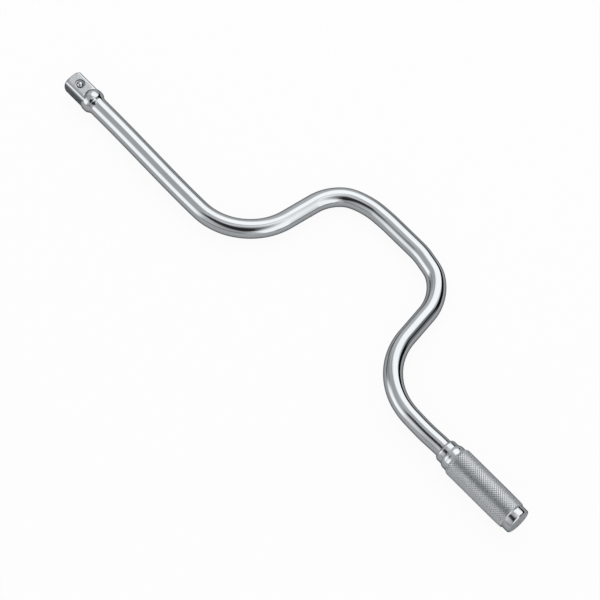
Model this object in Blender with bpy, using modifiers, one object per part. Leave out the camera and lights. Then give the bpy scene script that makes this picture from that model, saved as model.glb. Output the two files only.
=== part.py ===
"""Speed brace: a cranked bar with a square drive at one end and a free-turning grip at the other.

The origin is the centre of the drive's tip face. +X runs along the turning axis towards the grip,
+Y towards the crank's throw, and +Z is square to the plane of the crank. Lengths are in metres.
"""
import math

import bmesh
import bpy
from mathutils import Vector

# The bar and its crank, measured along and across the bar's centreline
BAR_DIAMETER = 0.0125
SHANK_REACH = 0.159
ARM_RUN = 0.0127
THROW = 0.0825
OFFSET_LENGTH = 0.095
OUTER_BEND_RADIUS = 0.0417
INNER_BEND_RADIUS = 0.032

# The drive head
DRIVE_SQUARE = 0.0127
HEAD_DIAMETER = 0.016
FLAT_LENGTH = 0.0153
HEAD_LENGTH = 0.0207
HEAD_FRONT_ROUND = 0.006
HEAD_BACK_ROUND = 0.004
NECK_FILLET = 0.0052
TIP_CHAMFER = 0.0013

# The detent: a ball on a spring in a blind bore, held in by a staked lip
BALL_DIAMETER = 0.00476
BALL_STATION = 0.008
BALL_STAND = 0.0009
BALL_RUNNING_CLEARANCE = 0.0001
LIP_CATCH = 0.00004
LIP_CLEARANCE = 0.0001
LIP_LAND = 0.0001
LIP_UNDERCUT = 0.0004
STAKE_DIAMETER = 0.007
BORE_FLOOR_WALL = 0.0022
SPRING_WIRE = 0.0005
SPRING_DIAMETER = 0.0044
SPRING_TURNS = 5
SPRING_STEPS = 10

# The stop collar on the bar, in front of the grip
SPINDLE_REACH = 0.0644
COLLAR_LENGTH = 0.0047
COLLAR_HEIGHT = 0.00155
COLLAR_FRONT_HEIGHT = 0.0007
COLLAR_ROUND_RUN = 0.0022

# The knurled sleeve that turns on the bar
BORE_CLEARANCE = 0.0001
NOSE_LENGTH = 0.0053
NOSE_WALL = 0.00252
NOSE_FRONT_WALL = 0.0018
NOSE_TAPER_RUN = 0.0028
KNURL_LENGTH = 0.0493
KNURL_WALL = 0.0036
KNURL_ROUND_RUN = 0.0022
KNURL_ROUND_RISE = 0.0009
KNURL_END_BREAK = 0.0003
COUNTERBORE_WALL = 0.002

# The washer, the retaining ring and the turned end of the bar that hold the sleeve on
END_PLAY = 0.0003
STUB_DIAMETER = 0.009
STUB_TAIL = 0.0016
STUB_CLEARANCE = 0.002
GROOVE_DEPTH = 0.0009
WASHER_THICKNESS = 0.0015
RING_THICKNESS = 0.001
RING_WIDTH = 0.0021
RING_OPENING_SHARE = 0.16

# The cap that closes the sleeve
CAP_STEP = 0.00095
CAP_BAND_LENGTH = 0.0031
CAP_SPIGOT_LENGTH = 0.006
CAP_SPIGOT_WALL = 0.002
CAP_RIM_RISE = 0.0002
CAP_RIM_LENGTH = 0.0011
CAP_RIM_ROUND = 0.001

# What all pieces share
SEAT_GAP = 0.0003
EDGE_BREAK = 0.0003
OVERRUN = 0.002
SWEEP_RESOLUTION = 14
TURN_STEPS = 40
BALL_SEGMENTS = 24
BALL_RINGS = 14
BEND_STEPS = 14
ARC_STEPS = 5
MERGE_DISTANCE = 0.00001
SMOOTH_ANGLE = math.radians(35)

# Worked out from the sizes above
bar_radius = BAR_DIAMETER / 2
head_radius = HEAD_DIAMETER / 2
flat_height = DRIVE_SQUARE / 2
ball_radius = BALL_DIAMETER / 2
ball_height = flat_height + BALL_STAND - ball_radius
stub_radius = STUB_DIAMETER / 2
groove_radius = stub_radius - GROOVE_DEPTH

crank_start = SHANK_REACH
crank_end = crank_start + 2 * ARM_RUN + OFFSET_LENGTH
collar_start = crank_end + SPINDLE_REACH
sleeve_start = collar_start + COLLAR_LENGTH + SEAT_GAP
knurl_start = sleeve_start + NOSE_LENGTH
sleeve_end = knurl_start + KNURL_LENGTH
cap_start = sleeve_end + SEAT_GAP
spigot_end = cap_start - CAP_SPIGOT_LENGTH
stub_end = spigot_end - STUB_CLEARANCE
groove_end = stub_end - STUB_TAIL
ring_start = groove_end - SEAT_GAP - RING_THICKNESS
groove_start = ring_start - SEAT_GAP
washer_start = groove_start - WASHER_THICKNESS
bar_shoulder = washer_start - SEAT_GAP
counterbore_floor = bar_shoulder - END_PLAY

sleeve_bore = bar_radius + BORE_CLEARANCE
knurl_radius = sleeve_bore + KNURL_WALL
counterbore_radius = knurl_radius - COUNTERBORE_WALL
cap_radius = knurl_radius - CAP_STEP
cap_rim_radius = cap_radius + CAP_RIM_RISE
spigot_radius = counterbore_radius - SEAT_GAP


def clear_scene():
    for old in list(bpy.data.objects):
        bpy.data.objects.remove(old, do_unlink=True)


def make_collection(name):
    collection = bpy.data.collections.new(name)
    bpy.context.scene.collection.children.link(collection)
    return collection


def make_material(name, colour, metallic, roughness):
    material = bpy.data.materials.new(name)
    material.use_nodes = True
    shader = material.node_tree.nodes["Principled BSDF"]
    shader.inputs["Base Color"].default_value = (*colour, 1)
    shader.inputs["Metallic"].default_value = metallic
    shader.inputs["Roughness"].default_value = roughness
    material.diffuse_color = (*colour, 1)
    return material


def add_object(name, data, collection, material=None):
    item = bpy.data.objects.new(name, data)
    collection.objects.link(item)
    if material:
        data.materials.append(material)
    return item


def make_guide(item):
    """A cutter or a tool shape: drawn as wire and left out of the model."""
    item.hide_render = True
    item.display_type = "WIRE"
    return item


def along_axis(item, station=0.0):
    """Lays a piece turned about its own Z on the brace's axis, its foot at the given station."""
    item.rotation_euler = (0, math.pi / 2, 0)
    item.location = (station, 0, 0)
    return item


def arc(centre, radius, start, end, steps=ARC_STEPS):
    """Points round a centre from one angle to another, both ends included."""
    span = end - start
    turns = [start + span * i / steps for i in range(steps + 1)]
    return [(centre[0] + radius * math.cos(t), centre[1] + radius * math.sin(t)) for t in turns]


def shoulder(foot, top, steps=ARC_STEPS):
    """A quarter ellipse in (radius, height) that leaves the foot steeply and meets the top level."""
    quarter = [math.pi / 2 * i / steps for i in range(steps + 1)]
    rise, run = top[0] - foot[0], top[1] - foot[1]
    return [(foot[0] + rise * math.sin(t), top[1] - run * math.cos(t)) for t in quarter]


def turned(name, profile, collection, material=None, closed=False):
    """Turns a profile of (radius, height) points, listed down its outer side, about its own Z."""
    mesh = bpy.data.meshes.new(name)
    points = [(radius, 0, height) for radius, height in profile]
    edges = [(i, i + 1) for i in range(len(points) - 1)]
    if closed:
        edges.append((len(points) - 1, 0))
    mesh.from_pydata(points, edges, [])
    item = add_object(name, mesh, collection, material)
    screw = item.modifiers.new("turn", "SCREW")
    screw.axis = "Z"
    screw.steps = TURN_STEPS
    screw.render_steps = TURN_STEPS
    screw.use_merge_vertices = True
    screw.merge_threshold = MERGE_DISTANCE
    screw.use_smooth_shade = True
    return item


def add_boolean(item, tool, operation):
    step = item.modifiers.new(tool.name, "BOOLEAN")
    step.operation = operation
    step.solver = "EXACT"
    step.object = tool


def make_curve(name, points, collection, material=None, closed=False):
    """A curve of one straight-sided spline through points of (x, y, z, radius share)."""
    data = bpy.data.curves.new(name, "CURVE")
    data.dimensions = "3D"
    spline = data.splines.new("POLY")
    spline.points.add(len(points) - 1)
    for slot, (x, y, z, share) in zip(spline.points, points):
        slot.co = (x, y, z, 1)
        slot.radius = share
    spline.use_cyclic_u = closed
    return add_object(name, data, collection, material)


def curve_to_mesh(curve, material):
    """Swaps a curve for its own mesh, with the caps welded on, so that it can be cut."""
    bpy.context.view_layer.update()
    evaluated = curve.evaluated_get(bpy.context.evaluated_depsgraph_get())
    mesh = bpy.data.meshes.new_from_object(evaluated)
    weld = bmesh.new()
    weld.from_mesh(mesh)
    bmesh.ops.remove_doubles(weld, verts=weld.verts, dist=MERGE_DISTANCE)
    weld.to_mesh(mesh)
    weld.free()
    name, collection, place = curve.name, curve.users_collection[0], curve.matrix_world.copy()
    bpy.data.objects.remove(curve, do_unlink=True)
    mesh.name = name
    mesh.materials.clear()
    item = add_object(name, mesh, collection, material)
    item.matrix_world = place
    return item


def smooth(item):
    item.data.shade_smooth()
    item.data.set_sharp_from_angle(angle=SMOOTH_ANGLE)


def rounded_corner(before, corner, after, radius):
    """The arc of the given radius that replaces a corner of the centreline."""
    back = (before - corner).normalized()
    onward = (after - corner).normalized()
    half_angle = back.angle(onward) / 2
    middle = (back + onward).normalized()
    centre = corner + middle * radius / math.sin(half_angle)
    reach = radius / math.tan(half_angle)
    first = corner + back * reach - centre
    last = corner + onward * reach - centre
    sweep = first.angle(last)
    points = []
    for i in range(BEND_STEPS + 1):
        t = sweep * i / BEND_STEPS
        points.append(centre + (first * math.sin(sweep - t) + last * math.sin(t)) / math.sin(sweep))
    return points


def neck_outline():
    """(station, radius) points of the domed head, its back shoulder and the fillet into the bar."""
    front_centre_radius = head_radius - HEAD_FRONT_ROUND
    front_run = math.sqrt(HEAD_FRONT_ROUND ** 2 - (flat_height - front_centre_radius) ** 2)
    front_centre = (FLAT_LENGTH + front_run, front_centre_radius)
    nose = math.asin((bar_radius - EDGE_BREAK - front_centre_radius) / HEAD_FRONT_ROUND)
    outline = arc(front_centre, HEAD_FRONT_ROUND, math.pi - nose, math.pi / 2)
    back_centre = (HEAD_LENGTH, head_radius - HEAD_BACK_ROUND)
    rise = bar_radius + NECK_FILLET - back_centre[1]
    reach = math.sqrt((HEAD_BACK_ROUND + NECK_FILLET) ** 2 - rise ** 2)
    fillet_centre = (HEAD_LENGTH + reach, bar_radius + NECK_FILLET)
    meeting = math.atan2(rise, reach)
    outline += arc(back_centre, HEAD_BACK_ROUND, math.pi / 2, meeting)
    outline += arc(fillet_centre, NECK_FILLET, meeting + math.pi, 3 * math.pi / 2)[1:]
    return outline


def bar_centreline():
    """(x, y, z, radius share) points along the whole bar, from inside the head to the turned end."""
    line = [(x, 0, 0, radius / bar_radius) for x, radius in neck_outline()]
    corners = [Vector((line[-1][0], 0, 0)), Vector((crank_start, 0, 0)),
               Vector((crank_start + ARM_RUN, THROW, 0)),
               Vector((crank_start + ARM_RUN + OFFSET_LENGTH, THROW, 0)),
               Vector((crank_end, 0, 0)), Vector((stub_end, 0, 0))]
    radii = (OUTER_BEND_RADIUS, INNER_BEND_RADIUS, INNER_BEND_RADIUS, OUTER_BEND_RADIUS)
    for i, radius in enumerate(radii, start=1):
        for point in rounded_corner(corners[i - 1], corners[i], corners[i + 1], radius):
            line.append((*point, 1))
    line.append((*corners[-1], 1))
    return line


def make_tang(tools):
    """The square drive: a turned end cut to four flats, with the turned corners left on."""
    reach = HEAD_LENGTH
    profile = [(0, reach), (head_radius - EDGE_BREAK, reach), (head_radius - EDGE_BREAK, FLAT_LENGTH),
               (head_radius, FLAT_LENGTH - EDGE_BREAK), (head_radius, TIP_CHAMFER),
               (head_radius - TIP_CHAMFER, 0), (0, 0)]
    tang = make_guide(along_axis(turned("tang_blank", profile, tools)))
    bpy.ops.mesh.primitive_cube_add(size=1)
    square = bpy.context.active_object
    square.name = "tang_square"
    for owner in square.users_collection:
        owner.objects.unlink(square)
    tools.objects.link(square)
    block = bmesh.new()
    block.from_mesh(square.data)
    bmesh.ops.scale(block, verts=block.verts, vec=(2 * (reach + OVERRUN), DRIVE_SQUARE, DRIVE_SQUARE))
    block.to_mesh(square.data)
    block.free()
    add_boolean(tang, make_guide(square), "INTERSECT")
    return tang


def make_detent_bore(tools):
    """The blind bore for the ball and spring: a staked dish, a thin lip and the bore below it."""
    lip_radius = ball_radius - LIP_CATCH
    lip_top = ball_height + math.sqrt(ball_radius ** 2 - (lip_radius - LIP_CLEARANCE) ** 2)
    bore_radius = ball_radius + BALL_RUNNING_CLEARANCE
    floor = -(flat_height - BORE_FLOOR_WALL)
    dish_radius = STAKE_DIAMETER / 2
    profile = [(0, flat_height + OVERRUN), (dish_radius, flat_height + OVERRUN),
               (dish_radius, flat_height), (lip_radius, lip_top), (lip_radius, lip_top - LIP_LAND),
               (bore_radius, lip_top - LIP_LAND - LIP_UNDERCUT), (bore_radius, floor), (0, floor)]
    bore = turned("detent_bore", profile, tools)
    bore.location = (BALL_STATION, 0, 0)
    return make_guide(bore)


def make_stub_cutter(tools):
    """What is turned away at the grip end: a shoulder, a stub with a groove, and a broken edge."""
    outside = bar_radius + OVERRUN
    profile = [(outside, stub_end + OVERRUN), (outside, bar_shoulder), (stub_radius, bar_shoulder),
               (stub_radius, groove_start), (groove_radius, groove_start),
               (groove_radius, groove_end), (stub_radius, groove_end),
               (stub_radius, stub_end - EDGE_BREAK),
               (stub_radius - EDGE_BREAK - OVERRUN, stub_end + OVERRUN)]
    return make_guide(along_axis(turned("stub_cutter", profile, tools, closed=True)))


def make_bar(parts, tools, steel):
    line = make_curve("brace_bar", bar_centreline(), parts)
    line.data.bevel_depth = bar_radius
    line.data.bevel_resolution = SWEEP_RESOLUTION
    line.data.use_fill_caps = True
    line.data.twist_mode = "Z_UP"
    bar = curve_to_mesh(line, steel)
    add_boolean(bar, make_tang(tools), "UNION")
    add_boolean(bar, make_detent_bore(tools), "DIFFERENCE")
    add_boolean(bar, make_stub_cutter(tools), "DIFFERENCE")
    smooth(bar)


def make_ball(parts, steel):
    bpy.ops.mesh.primitive_uv_sphere_add(segments=BALL_SEGMENTS, ring_count=BALL_RINGS,
                                         radius=ball_radius)
    ball = bpy.context.active_object
    for owner in ball.users_collection:
        owner.objects.unlink(ball)
    parts.objects.link(ball)
    ball.name = "detent_ball"
    ball.location = (BALL_STATION, 0, ball_height)
    ball.data.materials.append(steel)
    ball.data.shade_smooth()


def spring_points():
    """The spring's wire centre: from above the bore's floor up to where the coil bears on the ball."""
    coil_radius = (SPRING_DIAMETER - SPRING_WIRE) / 2
    touch = ball_radius + SPRING_WIRE / 2 + SEAT_GAP
    top = ball_height - math.sqrt(touch ** 2 - coil_radius ** 2)
    bottom = BORE_FLOOR_WALL - flat_height + SPRING_WIRE / 2 + SEAT_GAP
    count = SPRING_TURNS * SPRING_STEPS
    points = []
    for i in range(count + 1):
        angle = 2 * math.pi * i / SPRING_STEPS
        height = bottom + (top - bottom) * i / count
        points.append((coil_radius * math.cos(angle), coil_radius * math.sin(angle), height, 1))
    return points


def least_self_gap(points, wire):
    """Clear space between one turn of the wire and the next, measured on the centre points."""
    places = [Vector(point[:3]) for point in points]
    apart = SPRING_STEPS // 2
    pairs = [(a, b) for i, a in enumerate(places) for b in places[i + apart:]]
    return min((a - b).length for a, b in pairs) - wire


def make_spring(parts, steel):
    points = spring_points()
    spring = make_curve("detent_spring", points, parts, steel)
    spring.data.bevel_depth = SPRING_WIRE / 2
    spring.data.bevel_resolution = 1
    spring.data.use_fill_caps = True
    spring.location = (BALL_STATION, 0, 0)
    gap = least_self_gap(points, SPRING_WIRE)
    print(f"detent_spring: least gap between turns {gap * 1000:.2f} mm")


def make_stop_collar(parts, steel):
    """A ring pressed on the bar, which the sleeve's nose runs against."""
    inner = bar_radius + SEAT_GAP
    front = bar_radius + COLLAR_FRONT_HEIGHT
    outer = bar_radius + COLLAR_HEIGHT
    outside = shoulder((front, 0), (outer, COLLAR_ROUND_RUN)) + [
        (outer, COLLAR_LENGTH - EDGE_BREAK), (outer - EDGE_BREAK, COLLAR_LENGTH)]
    profile = list(reversed(outside)) + [(inner, 0), (inner, COLLAR_LENGTH)]
    collar = turned("stop_collar", profile, parts, steel, closed=True)
    along_axis(collar, collar_start)


def make_sleeve(parts, steel):
    """The grip: a smooth tapered nose, the barrel that carries the knurl, and a stepped bore."""
    nose_front = sleeve_bore + NOSE_FRONT_WALL
    nose = sleeve_bore + NOSE_WALL
    length = sleeve_end - sleeve_start
    knurl_foot = (knurl_radius - KNURL_ROUND_RISE, NOSE_LENGTH)
    outside = shoulder((nose_front, 0), (nose, NOSE_TAPER_RUN)) + [(nose, NOSE_LENGTH)]
    outside += shoulder(knurl_foot, (knurl_radius, NOSE_LENGTH + KNURL_ROUND_RUN))
    outside += [(knurl_radius, length - KNURL_END_BREAK), (knurl_radius - KNURL_END_BREAK, length)]
    floor = counterbore_floor - sleeve_start
    inside = [(sleeve_bore + EDGE_BREAK, 0), (sleeve_bore, EDGE_BREAK), (sleeve_bore, floor),
              (counterbore_radius, floor), (counterbore_radius, length)]
    sleeve = turned("grip_sleeve", list(reversed(outside)) + inside, parts, steel, closed=True)
    along_axis(sleeve, sleeve_start)


def make_cap(parts, steel):
    """The smooth end cap: a band and a rounded rim outside, a hollow spigot inside the sleeve."""
    rim_start = CAP_BAND_LENGTH + CAP_RIM_RISE
    round_start = rim_start + CAP_RIM_LENGTH
    rim = arc((cap_rim_radius - CAP_RIM_ROUND, round_start), CAP_RIM_ROUND, math.pi / 2, 0)
    inner = spigot_radius - CAP_SPIGOT_WALL
    profile = [(0, round_start + CAP_RIM_ROUND)] + rim + [
        (cap_rim_radius, rim_start), (cap_radius, CAP_BAND_LENGTH), (cap_radius, 0),
        (spigot_radius, 0), (spigot_radius, EDGE_BREAK - CAP_SPIGOT_LENGTH),
        (spigot_radius - EDGE_BREAK, -CAP_SPIGOT_LENGTH), (inner, -CAP_SPIGOT_LENGTH),
        (inner, 0), (0, 0)]
    along_axis(turned("end_cap", profile, parts, steel), cap_start)


def make_washer(parts, steel):
    outer = counterbore_radius - SEAT_GAP
    inner = stub_radius + SEAT_GAP
    profile = [(outer, WASHER_THICKNESS), (outer, 0), (inner, 0), (inner, WASHER_THICKNESS)]
    along_axis(turned("thrust_washer", profile, parts, steel, closed=True), washer_start)


def make_retaining_ring(parts, steel):
    """A split ring in the stub's groove: an open ring outline, extruded to its thickness."""
    inner = groove_radius + SEAT_GAP
    outer = inner + RING_WIDTH
    half_opening = math.pi * RING_OPENING_SHARE
    start, end = half_opening, 2 * math.pi - half_opening
    outline = arc((0, 0), outer, start, end, TURN_STEPS) + arc((0, 0), inner, end, start, TURN_STEPS)
    ring = make_curve("retaining_ring", [(x, y, 0, 1) for x, y in outline], parts, steel, closed=True)
    ring.data.dimensions = "2D"
    ring.data.fill_mode = "BOTH"
    ring.data.extrude = RING_THICKNESS / 2
    along_axis(ring, ring_start + RING_THICKNESS / 2)


def main():
    clear_scene()
    parts = make_collection("speed_brace")
    tools = make_collection("cutters")
    chrome = make_material("bright_chrome", (0.80, 0.81, 0.82), 1.0, 0.10)
    satin = make_material("satin_chrome", (0.62, 0.62, 0.65), 1.0, 0.34)
    ball_steel = make_material("ball_steel", (0.74, 0.74, 0.76), 1.0, 0.08)
    spring_steel = make_material("spring_steel", (0.34, 0.34, 0.36), 1.0, 0.35)
    zinc_steel = make_material("zinc_steel", (0.58, 0.59, 0.60), 1.0, 0.40)
    black_steel = make_material("black_steel", (0.06, 0.06, 0.07), 1.0, 0.45)
    make_bar(parts, tools, chrome)
    make_ball(parts, ball_steel)
    make_spring(parts, spring_steel)
    make_stop_collar(parts, make_material("collar_chrome", (0.78, 0.79, 0.80), 1.0, 0.14))
    make_sleeve(parts, satin)
    make_cap(parts, make_material("cap_chrome", (0.76, 0.77, 0.78), 1.0, 0.16))
    make_washer(parts, zinc_steel)
    make_retaining_ring(parts, black_steel)


main()
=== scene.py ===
"""Looks of the speed brace: fine skins for the pieces that show, finishes, floor, studio and camera.

Lengths are in metres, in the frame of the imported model: +X runs along the turning axis from the
square drive to the grip, +Y towards the crank's throw, and +Z is square to the crank's plane.
"""
import math

import bmesh
import bpy
import numpy as np
from mathutils import Matrix, Vector


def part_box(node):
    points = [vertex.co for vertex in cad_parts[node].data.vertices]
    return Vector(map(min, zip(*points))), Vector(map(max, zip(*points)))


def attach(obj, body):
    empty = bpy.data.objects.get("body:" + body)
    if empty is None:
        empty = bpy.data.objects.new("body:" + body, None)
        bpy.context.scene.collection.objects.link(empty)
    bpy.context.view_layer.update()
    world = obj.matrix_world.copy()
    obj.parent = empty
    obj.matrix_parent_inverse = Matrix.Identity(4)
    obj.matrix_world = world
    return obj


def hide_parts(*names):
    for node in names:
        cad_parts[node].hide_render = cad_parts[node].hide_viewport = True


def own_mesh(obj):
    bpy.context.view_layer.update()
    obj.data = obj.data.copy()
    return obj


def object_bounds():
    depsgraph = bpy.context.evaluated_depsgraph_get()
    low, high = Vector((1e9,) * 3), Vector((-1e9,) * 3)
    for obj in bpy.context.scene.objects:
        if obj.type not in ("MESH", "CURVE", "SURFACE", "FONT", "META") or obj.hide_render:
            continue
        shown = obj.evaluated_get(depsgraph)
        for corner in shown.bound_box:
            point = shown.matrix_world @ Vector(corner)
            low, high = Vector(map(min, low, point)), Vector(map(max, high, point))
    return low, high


# The bar and its crank
BAR_RADIUS = 0.00625
SHANK_REACH = 0.159
ARM_RUN = 0.0127
OFFSET_LENGTH = 0.095
OUTER_BEND_RADIUS = 0.0417
INNER_BEND_RADIUS = 0.032

# Small bows of the photographed bar, from its bending: where along the bar each starts, peaks and
# ends, and how far it lies to the right there, seen from the drive
BOWS = (
    (0.030, 0.114, 0.165, 0.00130),
    (0.222, 0.239, 0.260, 0.00105),
    (0.284, 0.294, 0.306, 0.00080),
    (0.405, 0.425, 0.441, 0.00050),
)

# The drive head, and how near a point lies to a flat or the dish to count as on it
FLAT_HEIGHT = 0.00635
HEAD_RADIUS = 0.008
FLAT_LENGTH = 0.0153
HEAD_LENGTH = 0.0207
HEAD_FRONT_ROUND = 0.006
HEAD_BACK_ROUND = 0.004
NECK_FILLET = 0.0052
TIP_CHAMFER = 0.0013
TIP_ROUND = 0.0004
FLAT_EDGE_ROUND = 0.0009
CREASE_ROUND = 0.0002
FLAT_MARGIN = TIP_ROUND / 4
DISH_MARGIN = TIP_ROUND / 2

# Painted shade in the crease between the flats and the dome and in the ball's dish: how far it spreads
# from the crease, and how dark the dish's is. Wear grows towards the drive's corners with this power
# of the distance.
CREASE_SHADE_SPREAD = 0.0006
DISH_SHADE_SHARE = 0.4
WEAR_POWER = 4

# The dish and bore that hold the detent ball
BORE_CLEARANCE = 0.0001
BORE_FLOOR = -0.00415
LIP_CATCH = 0.00002
LIP_LEVEL = 0.00535
LIP_LAND = 0.0001
LIP_UNDERCUT = 0.0004
DISH_RADIUS = 0.0033
DISH_EDGE_ROUND = 0.00015
DISH_FLOOR_RADIUS = 0.00305
DISH_FLOOR = 0.00545
CUTTER_OVERRUN = 0.002

# The spring under the ball
SPRING_WIRE = 0.0005
SPRING_DIAMETER = 0.0044
SPRING_TURNS = 5

# The bar's turned end inside the grip
BAR_SHOULDER = 0.3907
STUB_RADIUS = 0.0045
GROOVE_RADIUS = 0.0036
GROOVE_START = 0.3925
GROOVE_END = 0.3941

# The stop collar, the sleeve and the cap
COLLAR_FRONT_STEP = 0.0007
COLLAR_ROUND_RUN = 0.0019
COLLAR_SEAM = 0.00008
SLEEVE_BORE = 0.00635
NOSE_LENGTH = 0.0053
NOSE_FRONT_RADIUS = 0.0079
NOSE_RADIUS = 0.00887
NOSE_TAPER_RUN = 0.0028
KNURL_ROUND_RUN = 0.0022
KNURL_ROUND_RISE = 0.0009
KNURL_TAPER_RUN = 0.012
KNURL_TAPER_RISE = 0.00024
KNURL_END_RUN = 0.001
KNURL_END_RISE = 0.0006
KNURL_DEPTH = 0.0002
KNURL_FADE = 0.0007
KNURL_STARTS = 34
COUNTERBORE_RADIUS = 0.00795
COUNTERBORE_FLOOR = 0.3904
CAP_FLOOR = 0.4037
CAP_RADIUS = 0.009
CAP_RIM_ROUND = 0.0014
SPIGOT_RADIUS = 0.00765
SPIGOT_WALL = 0.002
EDGE_ROUND = 0.0003
SEAM_ROUND = 0.0001

# How finely the skins are cut
BASE_ANGLES = 96
BEND_STEPS = 44
STRAIGHT_STEP = 0.003
HEAD_STEP = 0.00018
TURN_ANGLES = 128
ROUND_STEPS = 6
SPRING_STEPS = 32
WIRE_ANGLES = 16
BALL_SUBDIVISIONS = 5
SMOOTH_ANGLE = math.radians(35)

# Steps of the knurl's grid from one tooth to the next, and from the middle of a groove to its edge
STEPS_PER_TOOTH = 6
GROOVE_STEPS = 1.0

# Extra rings on the face of the tip, as shares of its radius, and extra angles at each edge of a flat
TIP_FACE_RINGS = (0.9, 0.98)
FLAT_EDGE_ANGLES = [math.radians(a) for a in (-3.2, -2.1, -1.2, -0.4, 0.4, 1.2, 2.1, 3.2)]

# The camera, fitted to the photograph
VIEW_AZIMUTH = math.radians(39.12)
VIEW_ELEVATION = math.radians(64.0)
VIEW_ROLL = math.radians(8.51)
VIEW_TARGET = Vector((0.2111, 0.0030, 0.0))
VIEW_DISTANCE = 2.182
LENS_MM = 209.5
SENSOR_MM = 36.0

# Colours of the chrome, cool and a little dark, of the milled drive, and of the shade painted into the
# dish and crease
CHROME = (0.405, 0.422, 0.436)
CHROME_DULL = (0.385, 0.402, 0.414)
KNURL_CHROME = (0.418, 0.435, 0.449)
KNURL_DULL = (0.396, 0.413, 0.426)
MILLED_LOW = (0.235, 0.247, 0.256)
MILLED_HIGH = (0.335, 0.35, 0.361)
PAINTED_SHADE_COLOUR = (0.10, 0.105, 0.11)

# What the metal reflects at a grazing angle. The dark, soft and milled tints are painted shade,
# darkening the reflections at the rims; the pale and plain ones darken them less.
PAINTED_DARK_RIM = (0.22, 0.23, 0.235)
PAINTED_SOFT_RIM = (0.3, 0.31, 0.32)
PALE_RIM = (0.62, 0.64, 0.66)
PLAIN_RIM = (0.8, 0.8, 0.8)
PAINTED_MILLED_RIM = (0.02, 0.02, 0.022)

# Roughness of each finish, from its bright clouds to its dull ones, and what is added where the
# metal is milled, worn, faced or knurled, or where shade is painted
BAR_GLOSS = (0.04, 0.08)
BALL_GLOSS = (0.05, 0.10)
COLLAR_GLOSS = (0.10, 0.16)
CAP_GLOSS = (0.09, 0.14)
SLEEVE_GLOSS = (0.12, 0.18)
MILLED_ROUGHNESS = (0.2, 0.34)
WORN_ROUGHNESS = 0.05
SHADE_ROUGHNESS = 0.3
FACED_ROUGHNESS = 0.12
KNURL_ROUGHNESS = 0.22

# The steel inside the drive and the grip: its colour, its duller colour and its roughness
SPRING_STEEL = ((0.36, 0.36, 0.38), (0.26, 0.26, 0.27), (0.3, 0.45))
HIDDEN_STEEL = {
    "thrust_washer": ((0.58, 0.59, 0.60), (0.46, 0.47, 0.47), (0.32, 0.5)),
    "retaining_ring": ((0.07, 0.07, 0.08), (0.035, 0.035, 0.035), (0.4, 0.6)),
}

# The noises of the finishes, as cycles a metre and detail
CLOUDS = (90.0, 4.0)
SCUFFS = (260.0, 6.0)
WAVES = (70.0, 2.0)
MILLED_GRAIN = (1300.0, 4.0)
PAPER_GRAIN = (900.0, 4.0)

# How much finer a noise runs along each axis
EVEN = (1, 1, 1)
LENGTHWISE = (1, 9, 9)

# The stretch of each noise that its effect runs over
CLOUD_SPAN = (0.35, 0.7)
DULL_SPAN = (0.3, 0.75)
SCUFF_SPAN = (0.62, 0.75)
GRAIN_SPAN = (0.3, 0.7)
MOTTLE_SPAN = (0.35, 0.65)
WHOLE = (0.0, 1.0)

# Heights of the waves in the plate and of the milled grain
PLATE_WAVE = 0.00003
FINE_WAVE = 0.000002
MILLED_HEIGHT = 0.00006

# The floor of white paper
FLOOR_REACH = 4.0
PAPER = (0.93, 0.93, 0.93)
PAPER_BRIGHT = (0.96, 0.96, 0.96)
PAPER_ROUGHNESS = 0.9

# The share of the floor's brightness that is plain white, the rest being shaded: what the camera
# sees, and what the metal reflects
FLOOR_GLOW = 0.93
FLOOR_GLOW_REFLECTED = 0.2

# The light from the whole room, where 1 alone lights a white floor white
FILL_STRENGTH = 0.7

# The soft key lamp, which gives the shadow
KEY_LAMP_PLACE = (-0.4, 0.8, 1.6)
KEY_LAMP_SIZE = 1.2
KEY_LAMP_WATTS = 6.0

# The studio round the tool: name, direction as azimuth and elevation in degrees, distance, roll in
# degrees, width and height, share of each half that fades out, and strength (plain white is 1)
STUDIO_CENTRE = Vector((0.21, 0.035, 0.0))
PANELS = (
    ("front_wall", (-77.0, 0.5), 2.3, -14.0, (4.0, 1.3), 0.45, 0.52),
    ("left_wall", (187.0, 1.0), 2.3, -5.0, (2.8, 1.75), 0.60, 0.22),
    ("ceiling", (-147.0, 57.0), 2.1, 19.0, (2.5, 1.1), 0.30, 0.80),
    ("far_softbox", (109.0, 49.0), 1.9, 0.0, (2.5, 2.0), 0.35, 2.25),
    ("near_softbox", (-123.0, 13.0), 1.6, 0.0, (1.7, 2.0), 0.70, 2.20),
    ("right_softbox", (-10.0, 46.0), 1.6, 0.0, (1.7, 4.6), 0.45, 2.15),
    ("far_flag", (67.0, 2.0), 1.5, 22.0, (4.4, 1.75), 0.15, 0.01),
    ("lens_flag", (-68.0, 55.0), 1.3, 30.0, (1.55, 0.7), 0.30, 0.09),
    ("core_flag", (-50.0, 57.0), 1.1, 18.0, (1.4, 2.1), 0.90, 0.04),
    ("left_panel", (-161.0, 31.0), 1.4, -34.0, (0.95, 0.7), 0.65, 0.56),
    ("low_card", (31.0, 6.0), 1.45, 0.0, (0.8, 1.3), 0.90, 0.38),
    ("gap_flag", (39.0, 42.0), 1.2, 0.0, (0.45, 0.5), 0.70, 0.30),
)

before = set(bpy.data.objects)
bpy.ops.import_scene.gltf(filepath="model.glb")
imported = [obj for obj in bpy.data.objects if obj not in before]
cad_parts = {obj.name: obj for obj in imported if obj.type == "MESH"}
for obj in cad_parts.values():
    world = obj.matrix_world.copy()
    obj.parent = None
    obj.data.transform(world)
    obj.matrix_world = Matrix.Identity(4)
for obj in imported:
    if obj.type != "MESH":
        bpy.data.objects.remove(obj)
cad_low, cad_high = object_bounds()


# Shapes

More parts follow.
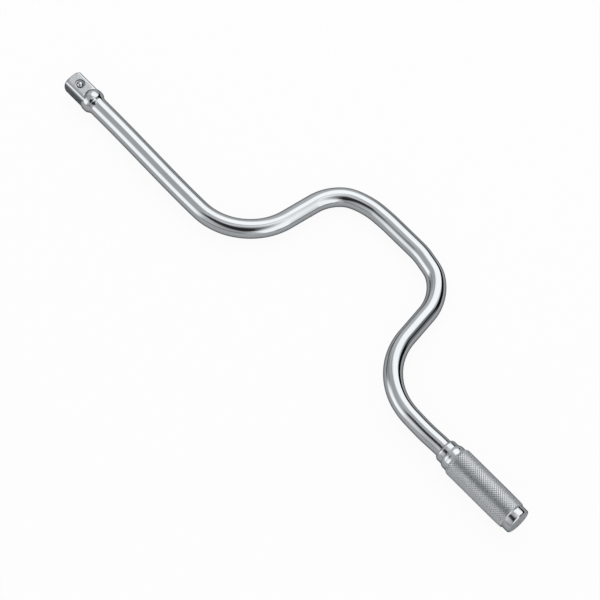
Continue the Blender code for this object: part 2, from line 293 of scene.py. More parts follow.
def add_mesh(name, points, faces, material):
    mesh = bpy.data.meshes.new(name)
    mesh.from_pydata([tuple(p) for p in points], [], faces)
    mesh.validate()
    mesh.materials.append(material)
    piece = bpy.data.objects.new(name, mesh)
    bpy.context.scene.collection.objects.link(piece)
    tidy_normals(mesh)
    return piece


def tidy_normals(mesh):
    """Turns the faces outwards, and shades the mesh smooth except at its sharp edges."""
    shell = bmesh.new()
    shell.from_mesh(mesh)
    bmesh.ops.recalc_face_normals(shell, faces=shell.faces)
    shell.to_mesh(mesh)
    shell.free()
    mesh.shade_smooth()
    mesh.set_sharp_from_angle(angle=SMOOTH_ANGLE)


def skin(rings, looped=False):
    """Points and faces of a skin over rings of equal point counts, looped or capped at both ends."""
    count = len(rings[0])
    points = np.concatenate(rings)
    last = len(rings) if looped else len(rings) - 1
    faces = []
    for r in range(last):
        low, high = r * count, (r + 1) % len(rings) * count
        for i in range(count):
            j = (i + 1) % count
            faces.append((low + i, low + j, high + j, high + i))
    if not looped:
        faces.append(tuple(range(count)))
        faces.append(tuple(range(len(points) - count, len(points))))
    return points, faces


def even_angles(count=TURN_ANGLES):
    """Angles spaced evenly round a whole turn."""
    return np.linspace(0, 2 * math.pi, count, endpoint=False)


def ring_at(x, radius, angles):
    """A ring of points about the X axis, whose radius may differ from angle to angle."""
    return np.column_stack((np.full_like(angles, x), radius * np.cos(angles), radius * np.sin(angles)))


def circle_rings(profile, angles):
    """Rings about the X axis through (x, radius) points."""
    return [ring_at(x, radius, angles) for x, radius in profile]


def arc(centre, radius, start, end, steps=ROUND_STEPS):
    """(x, radius) points round a centre from one angle to another, both ends included."""
    turns = [start + (end - start) * i / steps for i in range(steps + 1)]
    return [(centre[0] + radius * math.cos(t), centre[1] + radius * math.sin(t)) for t in turns]


def rounded_corner(before, corner, after, radius):
    """The arc of the given radius that replaces a corner of the centreline."""
    back = (before - corner).normalized()
    onward = (after - corner).normalized()
    half_angle = back.angle(onward) / 2
    centre = corner + (back + onward).normalized() * radius / math.sin(half_angle)
    reach = radius / math.tan(half_angle)
    first = corner + back * reach - centre
    last = corner + onward * reach - centre
    sweep = first.angle(last)
    points = []
    for i in range(BEND_STEPS + 1):
        t = sweep * i / BEND_STEPS
        points.append(centre + (first * math.sin(sweep - t) + last * math.sin(t)) / math.sin(sweep))
    return points


def direction_at(line, i):
    """The unit direction of a line of points at one of them."""
    return (line[min(i + 1, len(line) - 1)] - line[max(i - 1, 0)]).normalized()


def soft_min(a, b, round_size):
    """The smaller of two values, with the corner between them rounded."""
    blend = np.maximum(round_size - np.abs(a - b), 0) / round_size
    return np.minimum(a, b) - blend * blend * round_size / 4


def soft_max(a, b, round_size):
    return -soft_min(-a, -b, round_size)


def spread(start, end, step):
    """Even steps of at most the given size from a start up to, not with, an end."""
    count = max(1, math.ceil((end - start) / step))
    return [start + (end - start) * i / count for i in range(count)]


# The bar

front_centre_radius = HEAD_RADIUS - HEAD_FRONT_ROUND
dome_crest = FLAT_LENGTH + math.sqrt(HEAD_FRONT_ROUND ** 2 - (FLAT_HEIGHT - front_centre_radius) ** 2)
back_centre_radius = HEAD_RADIUS - HEAD_BACK_ROUND
fillet_centre_radius = BAR_RADIUS + NECK_FILLET
neck_rise = fillet_centre_radius - back_centre_radius
neck_reach = math.sqrt((HEAD_BACK_ROUND + NECK_FILLET) ** 2 - neck_rise ** 2)
neck_end = HEAD_LENGTH + neck_reach
back_round_end = HEAD_LENGTH + neck_reach * HEAD_BACK_ROUND / (HEAD_BACK_ROUND + NECK_FILLET)


def bar_angles():
    """Angles round the bar, closer together at the edges of the drive's flats."""
    edge = math.acos(FLAT_HEIGHT / HEAD_RADIUS)
    edges = [q * math.pi / 2 + s * edge for q in range(4) for s in (-1, 1)]
    angles = [e + n for e in edges for n in FLAT_EDGE_ANGLES]
    step = 2 * math.pi / BASE_ANGLES
    for i in range(BASE_ANGLES):
        a = i * step
        apart = min(abs((a - e + math.pi) % (2 * math.pi) - math.pi) for e in edges)
        if apart > FLAT_EDGE_ANGLES[-1] + step / 4:
            angles.append(a)
    return np.array(sorted(a % (2 * math.pi) for a in angles))


def turned_radius(x):
    """Radius of the dome, its back shoulder and the fillet into the bar, at a station."""
    if x < dome_crest:
        inside = HEAD_FRONT_ROUND ** 2 - (dome_crest - x) ** 2
        return front_centre_radius + math.sqrt(inside) if inside > 0 else 0.0
    if x < HEAD_LENGTH:
        return HEAD_RADIUS
    if x < back_round_end:
        return back_centre_radius + math.sqrt(HEAD_BACK_ROUND ** 2 - (x - HEAD_LENGTH) ** 2)
    if x < neck_end:
        return fillet_centre_radius - math.sqrt(NECK_FILLET ** 2 - (neck_end - x) ** 2)
    return BAR_RADIUS


def head_radius(x, angles):
    """Radius of the drive and its dome at a station, for each angle."""
    square = FLAT_HEIGHT / np.maximum(np.abs(np.cos(angles)), np.abs(np.sin(angles)))
    blank = HEAD_RADIUS - max(0.0, TIP_CHAMFER - x)
    tang = soft_min(np.full_like(angles, blank), square, FLAT_EDGE_ROUND)
    if x < TIP_ROUND:
        tang = tang - TIP_ROUND + math.sqrt(TIP_ROUND ** 2 - (TIP_ROUND - x) ** 2)
    if x < dome_crest:
        return soft_max(tang, np.full_like(angles, turned_radius(x)), CREASE_ROUND)
    return np.full_like(angles, turned_radius(x))


def crank_line():
    """Centreline points from the neck to the shoulder inside the grip."""
    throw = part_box("brace_bar")[1].y - BAR_RADIUS
    crank_end = SHANK_REACH + 2 * ARM_RUN + OFFSET_LENGTH
    corners = [Vector((neck_end, 0)), Vector((SHANK_REACH, 0)), Vector((SHANK_REACH + ARM_RUN, throw)),
               Vector((SHANK_REACH + ARM_RUN + OFFSET_LENGTH, throw)), Vector((crank_end, 0)),
               Vector((BAR_SHOULDER, 0))]
    radii = (OUTER_BEND_RADIUS, INNER_BEND_RADIUS, INNER_BEND_RADIUS, OUTER_BEND_RADIUS)
    keys = [corners[0]]
    for i, radius in enumerate(radii, start=1):
        keys += rounded_corner(corners[i - 1], corners[i], corners[i + 1], radius)
    keys.append(corners[-1])
    line = []
    for a, b in zip(keys, keys[1:]):
        line += [a.lerp(b, t) for t in spread(0.0, 1.0, STRAIGHT_STEP / (b - a).length)]
    return line + [keys[-1]]


def bow(distance):
    """How far the bar lies to the right of its true line, at a distance along it."""
    shift = 0.0
    for start, peak, end, height in BOWS:
        if start < distance < end:
            span = peak - start if distance < peak else end - peak
            shift += height * (0.5 + 0.5 * math.cos(math.pi * (distance - peak) / span))
    return shift


def bowed(line):
    """The centreline with its small bows."""
    distance = line[0].x
    points = []
    for i, point in enumerate(line):
        along = direction_at(line, i)
        distance += (point - line[max(i - 1, 0)]).length
        points.append(point + bow(distance) * Vector((along.y, -along.x)))
    return points


def bar_rings(angles):
    """Rings of the whole bar: the drive and its dome, the bent bar, and the turned end."""
    tip_radius = head_radius(0.0, angles)
    rings = [ring_at(0.0, share * tip_radius, angles) for share in TIP_FACE_RINGS]
    stations = spread(0.0, TIP_ROUND, TIP_ROUND / ROUND_STEPS) + spread(TIP_ROUND, neck_end, HEAD_STEP)
    rings += [ring_at(x, head_radius(x, angles), angles) for x in stations]
    line = bowed(crank_line())
    for i, point in enumerate(line):
        along = direction_at(line, i)
        across = Vector((-along.y, along.x))
        rings.append(np.column_stack((point.x + BAR_RADIUS * np.cos(angles) * across.x,
                                      point.y + BAR_RADIUS * np.cos(angles) * across.y,
                                      BAR_RADIUS * np.sin(angles))))
    stub_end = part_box("brace_bar")[1].x
    stub = [(BAR_SHOULDER, STUB_RADIUS), (GROOVE_START, STUB_RADIUS), (GROOVE_START, GROOVE_RADIUS),
            (GROOVE_END, GROOVE_RADIUS), (GROOVE_END, STUB_RADIUS),
            (stub_end - EDGE_ROUND, STUB_RADIUS), (stub_end, STUB_RADIUS - EDGE_ROUND)]
    return rings + circle_rings(stub, angles)


def bore_cutter(ball_radius, station):
    """The dish round the ball with a soft outer edge, a thin lip, and the blind bore under it."""
    lip = ball_radius - LIP_CATCH
    bore = ball_radius + BORE_CLEARANCE
    turns = np.linspace(0, math.pi / 2, ROUND_STEPS)
    edge = [(FLAT_HEIGHT - DISH_EDGE_ROUND / 2 * (1 - math.cos(t)),
             DISH_RADIUS + DISH_EDGE_ROUND * (1 - math.sin(t))) for t in turns]
    profile = [(FLAT_HEIGHT + CUTTER_OVERRUN, edge[0][1])] + edge + [
        (DISH_FLOOR, DISH_FLOOR_RADIUS), (LIP_LEVEL, lip), (LIP_LEVEL - LIP_LAND, lip),
        (LIP_LEVEL - LIP_LAND - LIP_UNDERCUT, bore), (BORE_FLOOR, bore)]
    rings = [level[:, [1, 2, 0]] + (station, 0, 0) for level in circle_rings(profile, even_angles())]
    points, faces = skin(rings)
    return add_mesh("bore_cutter", points, faces, bpy.data.materials.new("cutter"))


def cut(piece, cutter):
    """Cuts one mesh out of another for good, and removes the cutter."""
    step = piece.modifiers.new("cut", "BOOLEAN")
    step.operation = "DIFFERENCE"
    step.solver = "EXACT"
    step.object = cutter
    bpy.context.view_layer.update()
    evaluated = piece.evaluated_get(bpy.context.evaluated_depsgraph_get())
    mesh = bpy.data.meshes.new_from_object(evaluated)
    piece.modifiers.clear()
    piece.data = mesh
    bpy.data.objects.remove(cutter, do_unlink=True)
    while len(mesh.materials) > 1:
        mesh.materials.pop()
    tidy_normals(mesh)


def mark(mesh, name, values):
    """Stores a value from 0 to 1 for each point of a mesh, for its material."""
    layer = mesh.attributes.new(name, "FLOAT", "POINT")
    layer.data.foreach_set("value", np.asarray(values, dtype=np.float32))


def mark_drive(mesh, ball_station):
    """Point values for the finish: worn corners, milled flats, and where shade is painted in the dish
    and crease.
    """
    places = np.empty(len(mesh.vertices) * 3)
    mesh.vertices.foreach_get("co", places)
    x, y, z = places.reshape(-1, 3).T
    reach = np.hypot(y, z)
    side = np.maximum(np.abs(y), np.abs(z))
    on_drive = np.clip((FLAT_LENGTH + HEAD_FRONT_ROUND - x) / HEAD_FRONT_ROUND, 0, 1)
    corner = np.clip((reach - FLAT_HEIGHT) / (HEAD_RADIUS - FLAT_HEIGHT), 0, 1) ** WEAR_POWER
    mark(mesh, "worn", corner * on_drive)
    flat = (side > FLAT_HEIGHT - FLAT_MARGIN) & (x < FLAT_LENGTH)
    mark(mesh, "milled", flat & (reach < HEAD_RADIUS - EDGE_ROUND))
    dish = (z > 0) & (z < FLAT_HEIGHT - DISH_MARGIN) & (np.hypot(x - ball_station, y) < DISH_RADIUS)
    turned = np.array([turned_radius(value) for value in x])
    square = FLAT_HEIGHT * reach / np.maximum(side, FLAT_HEIGHT / 2)
    crease = np.clip(1 - np.abs(square - turned) / CREASE_SHADE_SPREAD, 0, 1) * (x < dome_crest)
    inside = (reach < HEAD_RADIUS - FLAT_MARGIN) & (turned > 0)
    # Painted shade: the dish beside the ball and the crease round the dome are marked to be darkened
    mark(mesh, "painted_shade_marks", np.maximum(dish * DISH_SHADE_SHARE, crease * inside))


def make_bar(material):
    points, faces = skin(bar_rings(bar_angles()))
    bar = add_mesh("bar_skin", points, faces, material)
    low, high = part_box("detent_ball")
    ball_station = (low.x + high.x) / 2
    cut(bar, bore_cutter((high.x - low.x) / 2, ball_station))
    mark_drive(bar.data, ball_station)
    place(bar, "brace", "bright_chrome", "brace_bar")


# The other pieces that show

def place(piece, body, slot, *nodes):
    """Fixes a piece to a body in place of the CAD nodes that it shows better, and hides these; its slot
    is not used.
    """
    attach(piece, body)
    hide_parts(*nodes)


def make_ball(material):
    low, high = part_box("detent_ball")
    ball = bmesh.new()
    bmesh.ops.create_icosphere(ball, subdivisions=BALL_SUBDIVISIONS, radius=(high.x - low.x) / 2)
    mesh = bpy.data.meshes.new("ball_skin")
    ball.to_mesh(mesh)
    ball.free()
    mesh.shade_smooth()
    mesh.materials.append(material)
    piece = bpy.data.objects.new("ball_skin", mesh)
    bpy.context.scene.collection.objects.link(piece)
    piece.location = (low + high) / 2
    place(piece, "detent", "ball_steel", "detent_ball")


def make_spring(material):
    """The spring in round wire, its end turns closer together."""
    low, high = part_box("detent_spring")
    ball_low, ball_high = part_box("detent_ball")
    station = (ball_low.x + ball_high.x) / 2
    coil = (SPRING_DIAMETER - SPRING_WIRE) / 2
    bottom, top = low.z + SPRING_WIRE / 2, high.z - SPRING_WIRE / 2
    count = SPRING_TURNS * SPRING_STEPS
    turns = [2 * math.pi * i / SPRING_STEPS for i in range(count + 1)]
    outward = [Vector((math.cos(t), math.sin(t), 0)) for t in turns]
    heights = [bottom + (top - bottom) * t * t * (3 - 2 * t) for t in np.linspace(0, 1, count + 1)]
    centres = [Vector((station, 0, z)) + coil * out for out, z in zip(outward, heights)]
    rings = []
    for i, (centre, out) in enumerate(zip(centres, outward)):
        across = direction_at(centres, i).cross(out)
        wire = [math.cos(a) * out + math.sin(a) * across for a in even_angles(WIRE_ANGLES)]
        rings.append(np.array([centre + SPRING_WIRE / 2 * spoke for spoke in wire]))
    points, faces = skin(rings)
    spring = add_mesh("spring_skin", points, faces, material)
    place(spring, "brace", "spring_steel", "detent_spring")
    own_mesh(spring)


def crown(foot, top):
    """A rise in (x, radius) that starts as a slope and ends level."""
    steps = 2 * ROUND_STEPS
    quarter = [math.pi / 2 * i / steps for i in range(steps + 1)]
    run, rise = top[0] - foot[0], top[1] - foot[1]
    return [(foot[0] + run * t / (math.pi / 2), foot[1] + rise * math.sin(t)) for t in quarter]


def make_collar(material):
    low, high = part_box("stop_collar")
    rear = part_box("grip_sleeve")[0].x - COLLAR_SEAM
    outer = high.y
    outside = crown((low.x, BAR_RADIUS + COLLAR_FRONT_STEP), (low.x + COLLAR_ROUND_RUN, outer))
    outside += arc((rear - SEAM_ROUND, outer - SEAM_ROUND), SEAM_ROUND, math.pi / 2, 0)
    profile = outside + [(rear, BAR_RADIUS - SEAM_ROUND), (low.x, BAR_RADIUS - SEAM_ROUND)]
    points, faces = skin(circle_rings(profile, even_angles()), looped=True)
    place(add_mesh("collar_skin", points, faces, material), "brace", "collar_chrome", "stop_collar")


def groove_distance(diagonal):
    """Steps from a grid diagonal to the nearest groove."""
    half = STEPS_PER_TOOTH / 2
    return np.abs((diagonal + half) % STEPS_PER_TOOTH - half)


def knurl_rings(start, end, crest_radius, angles):
    """Rows of the diamond knurl: flat-topped teeth between grooves at 45 degrees both ways."""
    step = 2 * math.pi * crest_radius / len(angles)
    rows = round((end - start) / step)
    columns = np.arange(len(angles))
    rings = []
    for j in range(rows + 1):
        x = start + (end - start) * j / rows
        crest = crest_radius
        for run, rise, reach in ((KNURL_ROUND_RUN, KNURL_ROUND_RISE, x - start),
                                 (KNURL_TAPER_RUN, KNURL_TAPER_RISE, end - x),
                                 (KNURL_END_RUN, KNURL_END_RISE, end - x)):
            crest -= rise * max(0.0, 1 - reach / run) ** 2
        nearest = np.minimum(groove_distance(columns + j), groove_distance(columns - j))
        share = 1 - np.minimum(nearest / GROOVE_STEPS, 1.0)
        fade = min(1.0, (x - start) / KNURL_FADE, (end - x) / KNURL_FADE)
        r = crest - KNURL_DEPTH * fade * share
        rings.append(ring_at(x, r, angles))
    return rings


def split_knurl(faces, first_ring, rows, count):
    """Cuts each quad of the knurl along its nearer groove, so that the teeth come out true."""
    split = []
    for index, face in enumerate(faces):
        ring, column = divmod(index, count)
        row = ring - first_ring
        if not 0 <= row < rows:
            split.append(face)
            continue
        a, b, c, d = face
        if groove_distance(column + row + 1) < groove_distance(column - row):
            split += [(a, b, d), (b, c, d)]
        else:
            split += [(a, b, c), (a, c, d)]
    return split


def make_sleeve(material):
    low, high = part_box("grip_sleeve")
    knurl_start = low.x + NOSE_LENGTH
    angles = even_angles(KNURL_STARTS * STEPS_PER_TOOTH)
    nose = crown((low.x, NOSE_FRONT_RADIUS), (low.x + NOSE_TAPER_RUN, NOSE_RADIUS))
    nose.append((knurl_start - EDGE_ROUND, NOSE_RADIUS))
    knurl = knurl_rings(knurl_start, high.x, high.y, angles)
    inside = [(high.x, COUNTERBORE_RADIUS), (COUNTERBORE_FLOOR, COUNTERBORE_RADIUS),
              (COUNTERBORE_FLOOR, SLEEVE_BORE), (low.x + EDGE_ROUND, SLEEVE_BORE),
              (low.x, SLEEVE_BORE + EDGE_ROUND)]
    rings = circle_rings(nose, angles) + knurl + circle_rings(inside, angles)
    points, faces = skin(rings, looped=True)
    faces = split_knurl(faces, len(nose), len(knurl) - 1, len(angles))
    sleeve = add_mesh("sleeve_skin", points, faces, material)
    row = np.arange(len(points)) // len(angles)
    mark(sleeve.data, "knurled", (row >= len(nose)) & (row < len(nose) + len(knurl)))
    place(sleeve, "grip", "satin_chrome", "grip_sleeve")


def make_cap(material):
    low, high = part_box("end_cap")
    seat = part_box("grip_sleeve")[1].x
    inner = SPIGOT_RADIUS - SPIGOT_WALL
    rim = arc((high.x - CAP_RIM_ROUND, CAP_RADIUS - CAP_RIM_ROUND), CAP_RIM_ROUND, math.pi / 2, 0)
    band = arc((seat + SEAM_ROUND, CAP_RADIUS - SEAM_ROUND), SEAM_ROUND, math.pi, math.pi / 2)
    outside = band + rim
    outside.append((high.x, EDGE_ROUND))
    inside = [(CAP_FLOOR, EDGE_ROUND), (CAP_FLOOR, inner), (low.x, inner),
              (low.x, SPIGOT_RADIUS - EDGE_ROUND), (low.x + EDGE_ROUND, SPIGOT_RADIUS),
              (seat, SPIGOT_RADIUS)]
    points, faces = skin(circle_rings(inside + outside, even_angles()))
    cap = add_mesh("cap_skin", points, faces, material)
    mark(cap.data, "faced", points[:, 0] > high.x - SEAM_ROUND)
    place(cap, "grip", "cap_chrome", "end_cap")


# Finishes

def new_material(name):
    """A material with its node tree and its shader."""
    material = bpy.data.materials.new(name)
    material.use_nodes = True
    return material, material.node_tree, material.node_tree.nodes["Principled BSDF"]


def noise(tree, scale, detail, stretch=EVEN):
    """A noise value in the piece's own coordinates; scale is in cycles a metre."""
    coords = tree.nodes.new("ShaderNodeTexCoord")
    mapping = tree.nodes.new("ShaderNodeMapping")
    mapping.inputs["Scale"].default_value = stretch
    texture = tree.nodes.new("ShaderNodeTexNoise")
    texture.inputs["Scale"].default_value = scale
    texture.inputs["Detail"].default_value = detail
    tree.links.new(coords.outputs["Object"], mapping.inputs["Vector"])
    tree.links.new(mapping.outputs["Vector"], texture.inputs["Vector"])
    return texture.outputs["Fac"]


def remap(tree, value, source, target):
    """A value's stretch from one number to another, carried over to a second stretch."""
    node = tree.nodes.new("ShaderNodeMapRange")
    node.inputs["From Min"].default_value, node.inputs["From Max"].default_value = source
    node.inputs["To Min"].default_value, node.inputs["To Max"].default_value = target
    tree.links.new(value, node.inputs["Value"])
    return node.outputs["Result"]


def maths(tree, operation, a, b):
    node = tree.nodes.new("ShaderNodeMath")
    node.operation = operation
    for socket, value in zip(node.inputs, (a, b)):
        if isinstance(value, (int, float)):
            socket.default_value = value
        else:
            tree.links.new(value, socket)
    return node.outputs["Value"]


def mix_colours(tree, share, first, second):
    """A mix of two colours, through the node's sockets 6 and 7 to its socket 2."""
    node = tree.nodes.new("ShaderNodeMix")
    node.data_type = "RGBA"
    tree.links.new(share, node.inputs["Factor"])
    for socket, colour in ((node.inputs[6], first), (node.inputs[7], second)):
        if isinstance(colour, tuple):
            socket.default_value = (*colour, 1)
        else:
            tree.links.new(colour, socket)
    return node.outputs[2]


def bump(tree, shader, height, distance):
    node = tree.nodes.new("ShaderNodeBump")
    node.inputs["Distance"].default_value = distance
    tree.links.new(height, node.inputs["Height"])
    tree.links.new(node.outputs["Normal"], shader.inputs["Normal"])


def attribute(tree, name):
    node = tree.nodes.new("ShaderNodeAttribute")
    node.attribute_name = name
    return node.outputs["Fac"]


def chrome(name, colour, dull, gloss, edge_tint, wave=PLATE_WAVE):
    """Chrome plate: cloudy gloss, fine handling marks, and the faint waves of the steel under it."""
    material, tree, shader = new_material(name)
    shader.inputs["Metallic"].default_value = 1.0
    # The edge tint darkens the reflection at the rims; its darker values are painted shade
    shader.inputs["Specular Tint"].default_value = (*edge_tint, 1)
    clouds = noise(tree, *CLOUDS)
    cloudy = remap(tree, clouds, CLOUD_SPAN, gloss)
    scuffs = remap(tree, noise(tree, *SCUFFS, LENGTHWISE), SCUFF_SPAN, (0.0, gloss[1]))
    tree.links.new(maths(tree, "ADD", cloudy, scuffs), shader.inputs["Roughness"])
    dulled = remap(tree, clouds, DULL_SPAN, WHOLE)
    tree.links.new(mix_colours(tree, dulled, colour, dull), shader.inputs["Base Color"])
    bump(tree, shader, noise(tree, *WAVES), wave)
    return material, tree, shader


def roughen(tree, shader, extra):
    """Adds to the roughness that a finish already has."""
    plain = shader.inputs["Roughness"].links[0].from_socket
    tree.links.new(maths(tree, "ADD", plain, extra), shader.inputs["Roughness"])


def drive_finish(tree, shader):
    """Roughens the milled flats, wears the drive's corners, and paints shade into the ball's dish and
    the crease.
    """
    worn, milled, painted_shade_mask = (attribute(tree, name) for name in ("worn", "milled", "painted_shade_marks"))
    grain = noise(tree, *MILLED_GRAIN)
    rough = maths(tree, "MULTIPLY", milled, remap(tree, grain, GRAIN_SPAN, MILLED_ROUGHNESS))
    rough = maths(tree, "ADD", rough, maths(tree, "MULTIPLY", worn, WORN_ROUGHNESS))
    roughen(tree, shader, maths(tree, "ADD", rough, maths(tree, "MULTIPLY", painted_shade_mask, SHADE_ROUGHNESS)))
    colour = shader.inputs["Base Color"].links[0].from_socket
    mottled = mix_colours(tree, remap(tree, grain, MOTTLE_SPAN, WHOLE), MILLED_LOW, MILLED_HIGH)
    colour = mix_colours(tree, milled, colour, mottled)
    # Painted shade: the marked dish and crease are darkened towards a near-black colour
    tree.links.new(mix_colours(tree, painted_shade_mask, colour, PAINTED_SHADE_COLOUR), shader.inputs["Base Color"])
    # Painted shade: the milled flats get a near-black rim tint, the rest the painted dark rim
    tree.links.new(mix_colours(tree, milled, PAINTED_DARK_RIM, PAINTED_MILLED_RIM), shader.inputs["Specular Tint"])
    bump(tree, shader, maths(tree, "MULTIPLY", grain, milled), MILLED_HEIGHT)


def faced_finish(tree, shader):
    """Dulls the end face of the cap, which is turned but not polished."""
    faced = attribute(tree, "faced")
    roughen(tree, shader, maths(tree, "MULTIPLY", faced, FACED_ROUGHNESS))
    # The faced end gets a paler rim tint than the painted dark rim of the rest
    tree.links.new(mix_colours(tree, faced, PAINTED_DARK_RIM, PALE_RIM), shader.inputs["Specular Tint"])


def knurl_finish(tree, shader):
    """Dulls the knurl beside the smooth nose."""
    roughen(tree, shader, maths(tree, "MULTIPLY", attribute(tree, "knurled"), KNURL_ROUGHNESS))


def make_materials():
    """The finishes of the pieces that this script makes."""
    bar, tree, shader = chrome("bar_chrome", CHROME, CHROME_DULL, BAR_GLOSS, PAINTED_DARK_RIM)
    drive_finish(tree, shader)
    cap, tree, shader = chrome("cap_chrome_turned", CHROME, CHROME_DULL, CAP_GLOSS, PAINTED_DARK_RIM)
    faced_finish(tree, shader)
    sleeve, tree, shader = chrome("knurl_chrome", KNURL_CHROME, KNURL_DULL, SLEEVE_GLOSS, PAINTED_SOFT_RIM)
    knurl_finish(tree, shader)
    return {
        "bar": bar,
        "collar": chrome("collar_chrome_turned", CHROME, CHROME_DULL, COLLAR_GLOSS, PAINTED_DARK_RIM)[0],
        "cap": cap,
        "sleeve": sleeve,
        "ball": chrome("ball_bright", CHROME, CHROME_DULL, BALL_GLOSS, PAINTED_DARK_RIM, FINE_WAVE)[0],
        "spring": chrome("spring_wire", *SPRING_STEEL, PLAIN_RIM, FINE_WAVE)[0],
    }


def finish_hidden_nodes():
    """Procedural finishes for the CAD pieces inside the grip."""
    for node, steel in HIDDEN_STEEL.items():
        material = chrome(node + "_steel", *steel, PLAIN_RIM)[0]
        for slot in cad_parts[node].material_slots:
            slot.material = material


# Floor, studio and camera

def floor_plane():
    """Point and normal of the floor, which touches the drive's dome, the grip and the crank."""
    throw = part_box("brace_bar")[1].y - BAR_RADIUS
    grip_low, grip_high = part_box("grip_sleeve")
    drive = Vector((dome_crest, 0, -HEAD_RADIUS))
    grip = Vector((grip_low.x + NOSE_LENGTH + KNURL_ROUND_RUN, 0, -grip_high.y))
    crank = Vector((SHANK_REACH + ARM_RUN + OFFSET_LENGTH / 2, throw, -BAR_RADIUS))
    normal = (grip - drive).cross(crank - drive).normalized()
    return drive, normal


def make_floor():
    """The white floor that the tool lies on."""
    point, normal = floor_plane()
    mesh = bpy.data.meshes.new("floor")
    corners = [(-FLOOR_REACH, -FLOOR_REACH, 0), (FLOOR_REACH, -FLOOR_REACH, 0),
               (FLOOR_REACH, FLOOR_REACH, 0), (-FLOOR_REACH, FLOOR_REACH, 0)]
    mesh.from_pydata(corners, [], [(0, 1, 2, 3)])
    floor = bpy.data.objects.new("floor", mesh)
    bpy.context.scene.collection.objects.link(floor)
    floor.rotation_mode = "QUATERNION"
    floor.rotation_quaternion = normal.to_track_quat("Z", "Y")
    middle = (cad_low + cad_high) / 2
    floor.location = middle - normal * (middle - point).dot(normal)
    mesh.materials.append(floor_material())


def seen_rays(tree, direct=1.0, reflected=1.0):
    """One value for rays from the camera, one for reflected or transmitted ones, and 0 for others."""
    path = tree.nodes.new("ShaderNodeLightPath")
    bent = maths(tree, "MAXIMUM", path.outputs["Is Glossy Ray"], path.outputs["Is Transmission Ray"])
    return maths(tree, "MAXIMUM", maths(tree, "MULTIPLY", path.outputs["Is Camera Ray"], direct),
                 maths(tree, "MULTIPLY", bent, reflected))


def floor_material():
    """White paper: partly plain white to rays that are seen, partly shaded, to keep a soft shadow."""
    material, tree, shader = new_material("floor_white")
    shade = mix_colours(tree, noise(tree, *PAPER_GRAIN), PAPER, PAPER_BRIGHT)
    tree.links.new(shade, shader.inputs["Base Color"])
    shader.inputs["Roughness"].default_value = PAPER_ROUGHNESS
    shader.inputs["Specular IOR Level"].default_value = 0.0
    glow = tree.nodes.new("ShaderNodeEmission")
    glow.inputs["Strength"].default_value = 1.0
    mix = tree.nodes.new("ShaderNodeMixShader")
    tree.links.new(seen_rays(tree, FLOOR_GLOW, FLOOR_GLOW_REFLECTED), mix.inputs["Fac"])
    tree.links.new(shader.outputs["BSDF"], mix.inputs[1])
    tree.links.new(glow.outputs["Emission"], mix.inputs[2])
    tree.links.new(mix.outputs["Shader"], tree.nodes["Material Output"].inputs["Surface"])
    return material


def make_world():
    """An even white room, plain white where it is seen and less bright as a light."""
    world = bpy.data.worlds.new("studio")
    bpy.context.scene.world = world
    world.use_nodes = True
    tree = world.node_tree
    shade = tree.nodes["Background"]
    shade.inputs["Color"].default_value = (1, 1, 1, 1)
    strength = remap(tree, seen_rays(tree), WHOLE, (FILL_STRENGTH, 1.0))
    tree.links.new(strength, shade.inputs["Strength"])


def panel_frame(azimuth, elevation, distance, roll):
    """Placement of a panel that faces the tool from a direction given in degrees."""
    az, el, turn = math.radians(azimuth), math.radians(elevation), math.radians(roll)
    outward = Vector((math.cos(el) * math.cos(az), math.cos(el) * math.sin(az), math.sin(el)))
    level = Vector((0, 0, 1)).cross(-outward).normalized()
    upright = (-outward).cross(level)
    u = level * math.cos(turn) + upright * math.sin(turn)
    v = upright * math.cos(turn) - level * math.sin(turn)
    spot = STUDIO_CENTRE + outward * distance
    rows = [(u[i], v[i], -outward[i], spot[i]) for i in range(3)]
    return Matrix(rows + [(0, 0, 0, 1)])


def panel(name, direction, distance, roll, size, soft, strength):
    """A studio panel, which is seen in reflections only."""
    w, h = size[0] / 2, size[1] / 2
    mesh = bpy.data.meshes.new(name)
    mesh.from_pydata([(-w, -h, 0), (w, -h, 0), (w, h, 0), (-w, h, 0)], [], [(0, 1, 2, 3)])
    mesh.materials.append(panel_material(name, w, h, soft, strength))
    board = bpy.data.objects.new(name, mesh)
    bpy.context.scene.collection.objects.link(board)
    board.matrix_world = panel_frame(*direction, distance, roll)
    board.visible_camera = False
    board.visible_diffuse = False
    board.visible_shadow = False


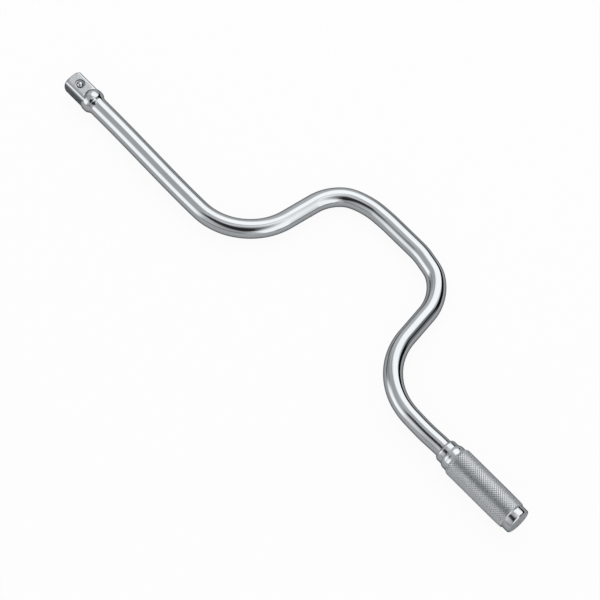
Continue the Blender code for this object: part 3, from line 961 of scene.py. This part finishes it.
def panel_material(name, half_width, half_height, soft, strength):
    """A glow whose edges fade out over a share of the panel's half size."""
    material, tree, shader = new_material(name)
    tree.nodes.remove(shader)
    glow = tree.nodes.new("ShaderNodeEmission")
    glow.inputs["Strength"].default_value = strength
    clear = tree.nodes.new("ShaderNodeBsdfTransparent")
    mix = tree.nodes.new("ShaderNodeMixShader")
    coords = tree.nodes.new("ShaderNodeTexCoord")
    parts = tree.nodes.new("ShaderNodeSeparateXYZ")
    tree.links.new(coords.outputs["Object"], parts.inputs["Vector"])
    masks = []
    for axis, half in (("X", half_width), ("Y", half_height)):
        reach = maths(tree, "ABSOLUTE", parts.outputs[axis], 0)
        mask = remap(tree, reach, (half * (1 - soft), half), (1.0, 0.0))
        mask.node.interpolation_type = "SMOOTHSTEP"
        masks.append(mask)
    tree.links.new(maths(tree, "MULTIPLY", *masks), mix.inputs["Fac"])
    tree.links.new(clear.outputs["BSDF"], mix.inputs[1])
    tree.links.new(glow.outputs["Emission"], mix.inputs[2])
    tree.links.new(mix.outputs["Shader"], tree.nodes["Material Output"].inputs["Surface"])
    return material


def make_key_lamp():
    """A lamp over the tool, which isn't seen itself."""
    data = bpy.data.lights.new("key_lamp", "AREA")
    data.shape = "DISK"
    data.size = KEY_LAMP_SIZE
    data.energy = KEY_LAMP_WATTS
    light = bpy.data.objects.new("key_lamp", data)
    bpy.context.scene.collection.objects.link(light)
    light.location = KEY_LAMP_PLACE
    light.rotation_mode = "QUATERNION"
    light.rotation_quaternion = (Vector(KEY_LAMP_PLACE) - VIEW_TARGET).to_track_quat("Z", "Y")
    light.visible_camera = False
    light.visible_glossy = False


def make_studio():
    make_world()
    for values in PANELS:
        panel(*values)
    make_key_lamp()


def make_camera():
    """The camera of the photograph, from its direction, roll and distance round its target."""
    ca, sa = math.cos(VIEW_AZIMUTH), math.sin(VIEW_AZIMUTH)
    ce, se = math.cos(VIEW_ELEVATION), math.sin(VIEW_ELEVATION)
    back = Vector((sa * ce, -ca * ce, se))
    right = Vector((ca, sa, 0))
    up = back.cross(right)
    turn_right = right * math.cos(VIEW_ROLL) + up * math.sin(VIEW_ROLL)
    turn_up = up * math.cos(VIEW_ROLL) - right * math.sin(VIEW_ROLL)
    data = bpy.data.cameras.new("camera")
    data.lens = LENS_MM
    data.sensor_width = SENSOR_MM
    camera = bpy.data.objects.new("camera", data)
    bpy.context.scene.collection.objects.link(camera)
    spot = VIEW_TARGET + back * VIEW_DISTANCE
    rows = [(turn_right[i], turn_up[i], back[i], spot[i]) for i in range(3)]
    camera.matrix_world = Matrix(rows + [(0, 0, 0, 1)])
    bpy.context.scene.camera = camera


def main():
    finishes = make_materials()
    make_bar(finishes["bar"])
    make_ball(finishes["ball"])
    make_spring(finishes["spring"])
    make_collar(finishes["collar"])
    make_sleeve(finishes["sleeve"])
    make_cap(finishes["cap"])
    finish_hidden_nodes()
    make_floor()
    make_studio()
    make_camera()
    bpy.context.scene.view_settings.view_transform = "Standard"


main()
